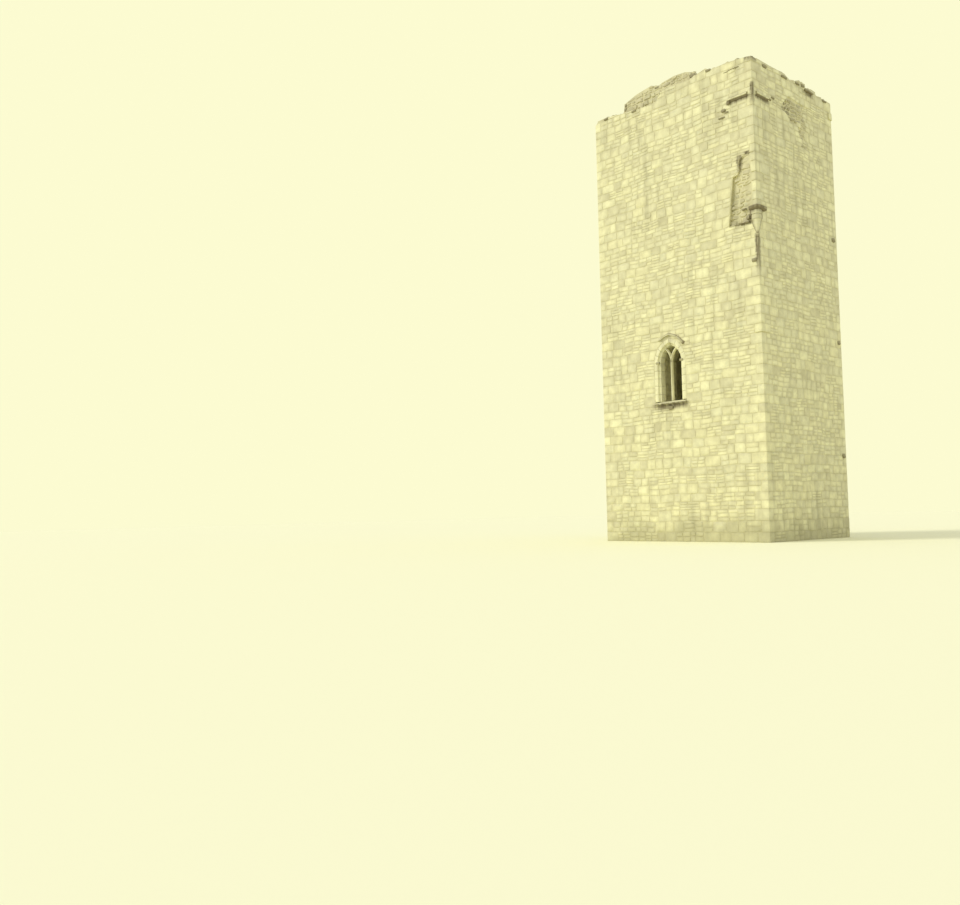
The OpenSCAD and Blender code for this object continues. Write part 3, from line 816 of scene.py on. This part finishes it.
def surround(rng, place, opening, section, jamb_stones, arch_stones, joint=0.003):
    """Jamb and arch blocks round an opening: a section of points (m, out) carried up each jamb and
    over each half of the arch, worn back at the joints and set a little out of line."""
    middle, half, beyond, foot, spring = opening
    solids = []

    def worn_section(places):
        """The section at each place, its front set out by a random step and a ripple along a sine, and
        worn back at both ends."""
        shift = rng.uniform(-0.003, 0.004)
        wear = np.zeros((len(places), 1))
        wear[[0, -1]] = 0.007
        ripple = 0.0015 * np.sin(np.linspace(0, 9, len(places)) + phases(rng))[:, None]
        m, out = section.T
        front = out > -0.2
        return (m + np.where((m < 0.02) & front, 0.5 * wear, 0.0),
                out + np.where(front, shift + ripple - wear, 0.0))

    for side in (-1, 1):
        levels = np.linspace(foot, spring, jamb_stones + 1)
        levels[1:-1] += rng.uniform(-0.04, 0.04, jamb_stones - 1)
        for low, high in pairwise(levels):
            z = block_ends(low, high, joint)
            m, out = worn_section(z)
            solids.append(place(middle + side * (half + m), out, z))
        shares = np.linspace(0, 1, arch_stones + 1)
        shares[1:-1] += rng.uniform(-0.03, 0.03, arch_stones - 1)
        for low, high in pairwise(shares):
            share = block_ends(low, high, joint / (half + beyond + 0.15))
            m, out = worn_section(share)
            a, z = arch_point(opening, side, m, share)
            solids.append(place(a, out, z))
    return solids


dressed_stone = stone_finish("dressed_stone", [(0.91, 0.88, 0.55), (0.84, 0.81, 0.50), (0.78, 0.75, 0.47)],
                             grain_scale=60.0, bump=0.4, streaks=0.55, lichen=0.4)
sill_top, frame_deep = sill_high[2], 0.45
clear_window = (window_middle, window_half, window_beyond, sill_top, window_spring)
window_section = np.concatenate([
    [(0.298, -frame_deep), (0.298, 0.004), (0.288, 0.012), (0.118, 0.012), (0.112, 0.0)],
    hollow(0.012, 0.0, 0.094), [(0.0, -0.1), (0.0, 0.01 - frame_deep), (0.01, -frame_deep)]])
bar_half = np.array([(0.016, -0.002), (0.03, -0.016), (0.036, -0.045), (0.055, -0.07), (0.055, -0.13),
                     (0.036, -0.155), (0.03, -0.184), (0.016, -0.198)])
bar_half[:, 1] -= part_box("front_window_mullion")[0][1] + half_side
bar_m, bar_out = np.concatenate([bar_half, bar_half[::-1] * [-1, 1]]).T
sill_out, sill_up = np.array([
    (-frame_deep, 0.0), (-0.14, 0.0), (0.088, -0.08), (0.106, -0.092), (0.108, -0.135), (0.098, -0.148),
    (0.066, -0.15), (0.058, -0.138), (0.048, -0.15), (0.012, -0.17), (0.0, -0.228), (-frame_deep, -0.228)]).T
hood_m, hood_out = np.array([
    (0.118, -0.01), (0.12, 0.018), (0.088, 0.076), (0.07, 0.096), (0.022, 0.098), (0.006, 0.084),
    (0.006, 0.068), (0.02, 0.05), (0.036, 0.024), (0.036, -0.01)]).T
impost_out, impost_up = np.array([(-0.02, -0.054), (0.022, -0.054), (0.034, -0.03), (0.052, -0.014),
                                  (0.06, 0.004), (0.06, 0.034), (0.048, 0.054), (-0.02, 0.054)]).T

# Dirt and painted shade lie along a section's points, darkest on the underside and where the mould
# meets the wall, where shade falls.
hood_dirt_and_shade = np.array([2.6, 2.4, 1.8, 1.1, 0.9, 1.1, 1.8, 2.6, 3.0, 3.0])
hood_gap, hood_foot, hood_break = 0.44, 0.82, 1.09
mullion_joint = sill_top + 1.02
radius = window_half + window_beyond
for wall, feet in (("front", (hood_break, hood_foot)), ("back", (hood_foot, hood_foot))):
    place = partial(on_wall, quarters[wall], half_side)
    rng = np.random.default_rng(90 + quarters[wall])
    solids = surround(rng, place, clear_window, window_section, 5, 4)
    for side in (-1, 1):
        a = window_middle + side * (window_half + block_ends(0.0, 0.178, 0.002))
        solids.append(place(a, impost_out, window_spring + impost_up))
    piece = dressed_piece(wall + "_window_arch", rng, solids, [0.0] * (len(solids) - 2) + [1.8] * 2)
    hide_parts(wall + "_window_left_frame", wall + "_window_right_frame")

    solids = [place(window_middle + bar_m, bar_out, block_ends(low, high, 0.002))
              for low, high in ((sill_top, mullion_joint), (mullion_joint, window_spring))]
    piece = dressed_piece(wall + "_window_mullion_bar", rng, solids)
    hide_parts(wall + "_window_mullion")

    angle = np.linspace(0, np.arccos(1 - window_half / 2 / radius) + 0.05, 11)[:, None]
    solids = [place(window_middle + side * (radius - (radius + bar_m) * np.cos(angle)), bar_out,
                    window_spring + (radius + bar_m) * np.sin(angle)) for side in (-1, 1)]
    piece = dressed_piece(wall + "_window_forked_bars", rng, solids)
    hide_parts(wall + "_window_tracery")

    solids = []
    for first, last in ((sill_low[0], window_middle - 0.1), (window_middle - 0.1, sill_high[0])):
        chip = 0.006 * np.sin(np.linspace(0, 11, 9) + rng.uniform(0, 6))[:, None]
        out = sill_out - np.where(sill_out > 0.04, 0.006 + chip, 0.0)
        solids.append(place(block_ends(first, last, 0.003, 9), out, sill_top + sill_up))
    piece = dressed_piece(wall + "_window_weathered_sill", rng, solids)
    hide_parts(wall + "_window_sill")

    solids = []
    ring = radius + hood_gap + hood_m
    for side, end in zip((-1, 1), feet):
        first, last = np.arcsin(end / ring), np.arccos(window_beyond / ring)
        for low, high in ((0.0, 0.52), (0.52, 1.0)):
            share = block_ends(low, high, 0.004)
            angle = first + share * (last - first)
            wear = 0.006 * np.sin(np.linspace(0, 8, len(share)) + rng.uniform(0, 6))[:, None]
            out = hood_out - np.where(hood_out > 0.06, 0.006 + wear, 0.0)
            solids.append(place(window_middle + side * (ring * np.cos(angle) - window_beyond), out,
                                window_spring + ring * np.sin(angle)))
    stop_reach = np.sqrt((radius + hood_gap + 0.06) ** 2 - hood_foot ** 2) - window_beyond
    drop = np.linspace(0.08, -0.08, 7)[:, None]
    swell = 0.55 + 0.45 * np.sqrt(np.clip(1 - (np.abs(drop) / 0.085) ** 3, 0, 1))
    round_stop = np.linspace(0, np.pi, 9)
    for side in compress((-1, 1), [end == hood_foot for end in feet]):
        solids.append(place(window_middle + side * stop_reach + 0.08 * swell * np.cos(round_stop),
                            0.098 * swell * np.sin(round_stop) ** 0.7 - 0.012,
                            window_spring + hood_foot + drop))
    # The hood's blocks take that dirt and painted shade, and its round stops are darkened all over.
    piece = dressed_piece(wall + "_window_hood_mould", rng, solids, [hood_dirt_and_shade] * 4 + [2.8] * 2)
    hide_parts(wall + "_window_hood")


# Doorway. The entrance in the left wall stands above the ground. Its round arch and jambs are
# dressed blocks with one hollow chamfer, built like those of the windows but plainer.
door_deep = door_high[0] + half_front
door_section = np.concatenate([
    [(0.248, -door_deep), (0.248, 0.015), (0.24, 0.022), (0.095, 0.022), (0.088, 0.012)],
    hollow(0.01, 0.008, 0.072), [(0.0, -0.075), (0.0, 0.01 - door_deep), (0.01, -door_deep)]])
clear_door = (-door_middle, door_half, 0.0, door_foot, door_spring)
rng = np.random.default_rng(121)
piece = dressed_piece("doorway_arch", rng, surround(rng, partial(on_wall, quarters["left"], half_front),
                                                    clear_door, door_section, 4, 5))
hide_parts("door_front_frame", "door_back_frame")


# Corner corbel. A moulded cap, two courses of plain block and a pendant that tapers in tiers down
# to the arris, all that is left of a stone turret or bracket at the near corner.
def round_the_corner(rng, section, left, right, wear=0.006, steps=8):
    """A closed bar carried round the near corner: section points (out, z) at places p along the
    walls, with extra places on the arris and ends broken unevenly."""
    near = worn * np.array([-1.6, -0.785, -0.3, 0.3, 0.785, 1.6])
    p = np.concatenate([np.linspace(-left, -0.09, steps), near, np.linspace(0.09, right, steps)])[:, None]
    out, z = section.T
    ripple = wear * np.sin(14 * p + phases(rng)) * np.cos(23 * z + phases(rng))
    p = p * (1 + 0.06 * rng.uniform(-1, 1, len(section)) * (np.abs(p) > 0.15))
    out = out - np.where(out > 0.02, wear + ripple, 0.0)
    return round_corner(0, np.clip(p, -left, right), out, z + 0 * p)


rng = np.random.default_rng(131)
bedded = -0.03
pendant_low, pendant_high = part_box("corner_corbel_pendant")
cap_foot, cap_top, cap_out = 14.94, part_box("corner_corbel_cap")[1][2], 0.19
block_foot, block_out, block_left, block_right = pendant_high[2], 0.13, 0.29, 0.24
cap_angle = np.linspace(np.pi / 2, 0, 5)
cap_section = np.concatenate([
    [(bedded, cap_top), (0.12, cap_top), (cap_out - 0.004, cap_top - 0.03), (cap_out, cap_top - 0.05),
     (cap_out, cap_foot + 0.095), (cap_out - 0.01, cap_foot + 0.08)],
    np.stack([block_out + 0.045 * np.sin(cap_angle), cap_foot + 0.075 - 0.07 * np.cos(cap_angle)], 1),
    [(bedded, cap_foot + 0.002)]])
solids = [round_the_corner(rng, cap_section, 0.31, 0.56)]
mid = (block_foot + cap_foot) / 2 + 0.02
edge = 0.014
for low, high, out, left, right in ((mid, cap_foot, block_out, block_left, block_right - 0.01),
                                    (block_foot, mid, block_out - 0.012, block_left - 0.03, block_right)):
    solids.append(round_the_corner(rng, np.array([
        (bedded, high - 0.002), (out - edge, high - 0.002), (out, high - edge), (out, (low + high) / 2),
        (out, low + edge), (out - edge, low + 0.002), (bedded, low + 0.002)]), left, right))
# Dirt and painted shade: the blocks darken at their ends and where they meet the wall above and below, the
# lower block more, and the cap all over, most on its underside.
end_dirt_and_shade = 2.6 * (np.abs(np.linspace(-1, 1, len(solids[1]))) > 0.8)[:, None]
block_dirt_and_shade = np.maximum(end_dirt_and_shade, [2.6, 1.6, 0.5, 0.3, 0.5, 1.6, 2.6])
piece = dressed_piece("corner_corbel_courses", rng, solids, [
    np.where(cap_section[:, 1] < cap_foot + 0.08, 3.0, 2.0), block_dirt_and_shade, block_dirt_and_shade + 0.8])
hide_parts("corner_corbel_cap")

tiers = 3
down = np.linspace(0, 1, 25)[:, None]
step = 1 - 0.16 * np.abs(np.sin(np.pi * tiers * down)) ** 0.6
leg = (0.31 * (1 - down) ** 0.85 + 0.03) * (1.05 - 0.12 * (1 - step))
round_p = np.linspace(-1, 1, 15)
p = np.where(round_p < 0, -block_left, block_right) * np.abs(round_p) ** 1.6 * leg / leg.max()
out = (0.118 * (1 - down) ** 0.8 + 0.006) * step * (1 - 0.25 * round_p ** 6)
height = block_foot - (block_foot - pendant_low[2]) * down + 0 * p
# Dirt and painted shade: the pendant darkens towards its sides, where it meets the wall, and towards its tip.
edge_dirt_and_shade = np.maximum(2.8 * np.abs(round_p) ** 3, 2.6 * np.clip((down - 0.7) / 0.25, 0, 1))
pendant = np.concatenate([round_corner(0, p, out, height),
                          round_corner(0, p[:, ::-1], bedded + 0 * out, height)], 1)
piece = dressed_piece("corner_corbel_tapered_pendant", rng, [pendant],
                      [np.concatenate([edge_dirt_and_shade, edge_dirt_and_shade[:, ::-1]], 1)])
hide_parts("corner_corbel_pendant")


# String courses. Two short lengths are left of the mould that ran under the parapet, each of three
# blocks with a sloping top and a hollow below, broken short at the ends.
rng = np.random.default_rng(141)
string_out, string_up = np.array([
    (-0.02, 0.218), (0.02, 0.216), (0.09, 0.165), (0.108, 0.148), (0.108, 0.1), (0.094, 0.086),
    (0.07, 0.078), (0.052, 0.052), (0.046, 0.01), (0.02, 0.002), (-0.02, 0.002)]).T
# Dirt and painted shade: darkest where the top meets the wall and under the hollow, lightest on the face.
string_dirt_and_shade = np.array([2.8, 2.4, 0.6, 0.3, 0.4, 1.6, 2.8, 2.8, 2.8, 2.8, 2.8])
side_low, side_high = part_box("string_course_right")
for wall, first, last in (("front", string_low[0], string_high[0]), ("right", side_low[1], side_high[1])):
    cuts = np.linspace(first, last, 4)
    cuts[1:3] += rng.uniform(-0.08, 0.08, 2)
    solids = []
    for low, high in pairwise(cuts):
        a = block_ends(low, high, 0.004, 9)
        bite = 0.012 * np.sin(7 * a + phases(rng)) * np.sin(19 * a + phases(rng))
        a = a + np.where(np.abs(a - first) < 0.01, 0.03, 0) * rng.uniform(0, 1, len(string_out))
        a = a - np.where(np.abs(a - last) < 0.01, 0.03, 0) * rng.uniform(0, 1, len(string_out))
        out = string_out * (0.9 + bite * 6) * np.where(string_out > 0, 1, 0.9)
        solids.append(on_wall(quarters[wall], reach_of[quarters[wall]], a, np.minimum(out, 0.109),
                              string_low[2] + string_up))
    piece = dressed_piece(wall + "_string_mould", rng, solids, [string_dirt_and_shade] * 3)
    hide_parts("string_course_" + wall)


# Projecting stones. Here and there a stone is left standing out of the face: stumps of the broken
# string course, of the corbel and of the ledge at the foot of the scar, a bonding stone under the
# sill, loose ones at the broken heads and a flat one that overhangs there on the right wall.
rng = np.random.default_rng(151)
faces_of = {"front": (0, half_side), "right": (1, half_front), "core": (0, core_reach)}

# Each stone is its place along the wall, its height, length and thickness, and how far it stands
# out.
stumps = {
    "front": [(3.98, 15.1, 0.24, 0.09, 0.09), (4.42, 12.67, 0.26, 0.19, 0.08), (3.39, 20.27, 0.2, 0.18, 0.09),
              (3.11, 20.0, 0.22, 0.16, 0.08), (3.28, 19.87, 0.2, 0.09, 0.05), (3.0, 19.68, 0.36, 0.09, 0.06),
              (-0.39, 6.45, 0.27, 0.19, 0.1), (3.7, 21.8, 0.6, 0.06, 0.035), (3.3, 21.77, 0.3, 0.05, 0.03),
              (3.32, 14.455, 0.3, 0.045, 0.03), (3.61, 14.46, 0.28, 0.05, 0.04),
              (3.88, 14.465, 0.27, 0.08, 0.07), (4.13, 14.47, 0.26, 0.11, 0.1), (4.19, 14.68, 0.2, 0.2, 0.09),
              (2.35, 22.22, 0.28, 0.13, 0.05), (-3.9, 21.94, 0.27, 0.13, 0.06),
              (-2.08, 21.74, 0.3, 0.11, 0.06)],
    "right": [(-1.95, 20.58, 0.3, 0.1, 0.06), (-2.25, 20.42, 0.3, 0.1, 0.07), (1.44, 21.87, 0.86, 0.15, 0.11),
              (0.9, 22.02, 0.28, 0.16, 0.06), (3.0, 21.85, 0.4, 0.12, 0.06), (3.3, 14.8, 0.3, 0.22, 0.08),
              (3.42, 9.63, 0.28, 0.22, 0.08), (3.4, 4.0, 0.28, 0.24, 0.08), (-2.6, 21.9, 0.34, 0.16, 0.07),
              (-0.85, 21.92, 0.5, 0.13, 0.07), (0.4, 21.98, 0.4, 0.12, 0.07)],
    "core": [(1.17, 22.55, 0.3, 0.2, 0.05), (-0.92, 22.7, 0.3, 0.13, 0.05), (-2.95, 22.24, 0.15, 0.2, 0.04),
             (-2.93, 22.45, 0.13, 0.17, 0.04)]}
for wall, stones in stumps.items():
    along, height, length, thick, stands = np.array(stones).T
    cells = list(zip(height - thick / 2, height + thick / 2, along - length / 2, along + length / 2))
    stands = stands[:, None, None]
    *shells, rim_and_shade = stone_shells(partial(on_wall, *faces_of[wall]), cells, rng, root=0.12, proud=3.0,
                                relief=(0.95 * stands, 1.2 * stands), rounding=0.2, joint=0.0, rough=0.007)
    # Painted shade: each stone is darkened all over, darkest at its edges and towards its foot.
    painted_foot_shade = np.tile(np.linspace(2.9, 1.8, 6), 6 * len(cells))
    make_piece(wall + "_projecting_stones", (*shells, np.maximum(3.0 * rim_and_shade, painted_foot_shade)), dressed_stone)

top_stone = np.array([(bedded, 22.02), (0.03, 22.02), (0.045, 21.99), (0.05, 21.91),
                      (0.035, 21.85), (bedded, 21.84)])
# Painted shade: the stone on the corner top is darkened all over.
dressed_piece("corner_top_stone", rng, [round_the_corner(rng, top_stone, 0.2, 0.34)], [1.2])


# Inner faces. The rooms are lined with the same rubble, in bigger and plainer stones, from the
# ground floor to the springing of the vault, from the hall's floor to the ledge, and above that,
# where the walls are thinner, up to the broken heads.
room_low, room_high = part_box("hall_floor")
upper_low, upper_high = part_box("back_wall_upper")
upper_wall, ledge, lining_top = upper_high[1] - upper_low[1], upper_low[2], 22.6
low_half = [room_high[0], room_high[1]] * 2
high_half = [half_front - upper_wall, half_side - upper_wall] * 2
vault_radius, vault_level = room_high[1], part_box("hall_vault")[0][2]
for stage, bottom, ceiling, halves, pierced in (
        ("ground_room", door_foot, vault_level, low_half, ["left"]),
        ("hall", room_high[2], ledge, low_half, ["front", "back"]),
        ("upper_room", ledge, lining_top, high_half, [])):
    rng = np.random.default_rng(len(stage) + 200)
    levels = course_beds(rng, [bottom, ceiling], 0.38, 0.52)
    parts = []
    for wall, quarter in quarters.items():
        facing, half, reach = (quarter + 2) % 4, halves[quarter], -halves[quarter - 1]
        opening = openings[wall] if wall in pierced else None
        cells = [cell for low, high in pairwise(levels)
                 for span in beside(opening, -1, low, high, -half, half)
                 for cell in course_cells(rng, low, high, *span, 1.1, 0.62, (1, 1, 2, 2))]
        if stage == "upper_room":
            foot, top, middle, wide = measures(cells)
            gap = depth_behind(facing, reach, middle, (foot + top) / 2 + 0.12)
            cells = list(compress(cells, np.abs(gap) < 0.05))
        shells = stone_shells(partial(on_wall, facing, reach), cells, rng, steps=4, relief=(0.006, 0.018))
        parts.append(shells)
    make_piece(stage + "_lining", joined(parts), wall_stone)


# Vault and floors. The ground room has a barrel vault of narrow stones laid along it, and both
# rooms are paved with worn flagstones.
def on_vault(a, out, s):
    """The point a along the vault and out from its underside, at the arc length s from the
    springing: the angle is s / radius."""
    angle = s / vault_radius
    return points_at(a, -(vault_radius - out) * np.cos(angle),
                     vault_level + (vault_radius - out) * np.sin(angle))


rng = np.random.default_rng(221)
levels = course_beds(rng, [0.02, np.pi * vault_radius - 0.02], 0.2, 0.28)
cells = coursed(rng, levels, room_low[0], room_high[0], long=0.8, short=0.5, patterns=(1,))
shells = stone_shells(on_vault, cells, rng, steps=4, relief=(0.006, 0.014))
make_piece("vault_stones", shells, wall_stone)

flagstone = stone_finish("flagstone", [(0.71, 0.68, 0.44), (0.63, 0.60, 0.40), (0.67, 0.63, 0.40)],
                         grain_scale=50.0, bump=0.4, streaks=0.0, lichen=0.7, damp=0.0)
for floor_name, floor_top in (("ground", door_foot), ("hall", room_high[2])):
    levels = course_beds(rng, [room_low[1], room_high[1]], 0.45, 0.62)
    cells = coursed(rng, levels, room_low[0], room_high[0], long=0.9, short=0.75, patterns=(1,))
    shells = stone_shells(lambda a, out, y: points_at(a, y, floor_top + out), cells, rng, steps=5,
                          relief=(0.004, 0.01), rough=0.0008, bevel=0.02, rounding=0.06)
    make_piece(floor_name + "_flagstones", shells, flagstone)


# Linings of the openings. Behind each window and the doorway the wall is splayed back square, and
# its sides and arched head are lined with dressed stones, one or two to each bed.
thickness = half_side - room_high[1]
for wall, deep_from in (("front", frame_deep), ("back", frame_deep), ("left", door_deep)):
    quarter = quarters[wall]
    rng = np.random.default_rng(240 + quarter)
    middle, half, beyond, foot, spring = openings[wall]
    radius, jamb_length = half + beyond, spring - foot
    whole_length = 2 * (jamb_length + radius * np.arccos(beyond / radius))

    def lining(depth, out, s):
        """The point at a depth in the wall and an arc length s round the opening, from the foot of
        one jamb over the arch to the foot of the other, and out into the opening."""
        near_end = np.minimum(s, whole_length - s)
        side = np.where(s < whole_length / 2, -1, 1)
        angle = np.clip((near_end - jamb_length) / radius, 0, None)
        a = middle + side * ((radius - out) * np.cos(angle) - beyond)
        z = np.where(near_end < jamb_length, foot + near_end, spring + (radius - out) * np.sin(angle))
        return on_wall(quarter, reach_of[quarter], a, -depth, z)

    levels = course_beds(rng, [0.0, jamb_length, whole_length / 2], 0.26, 0.36)
    levels = np.concatenate([levels, (whole_length - levels[::-1])[1:]])
    cells = coursed(rng, levels, deep_from, thickness, long=1.4, short=0.6, patterns=(1,))
    shells = stone_shells(lining, cells, rng, steps=5, relief=(0.005, 0.012))
    make_piece(wall + "_opening_lining", shells, wall_stone)
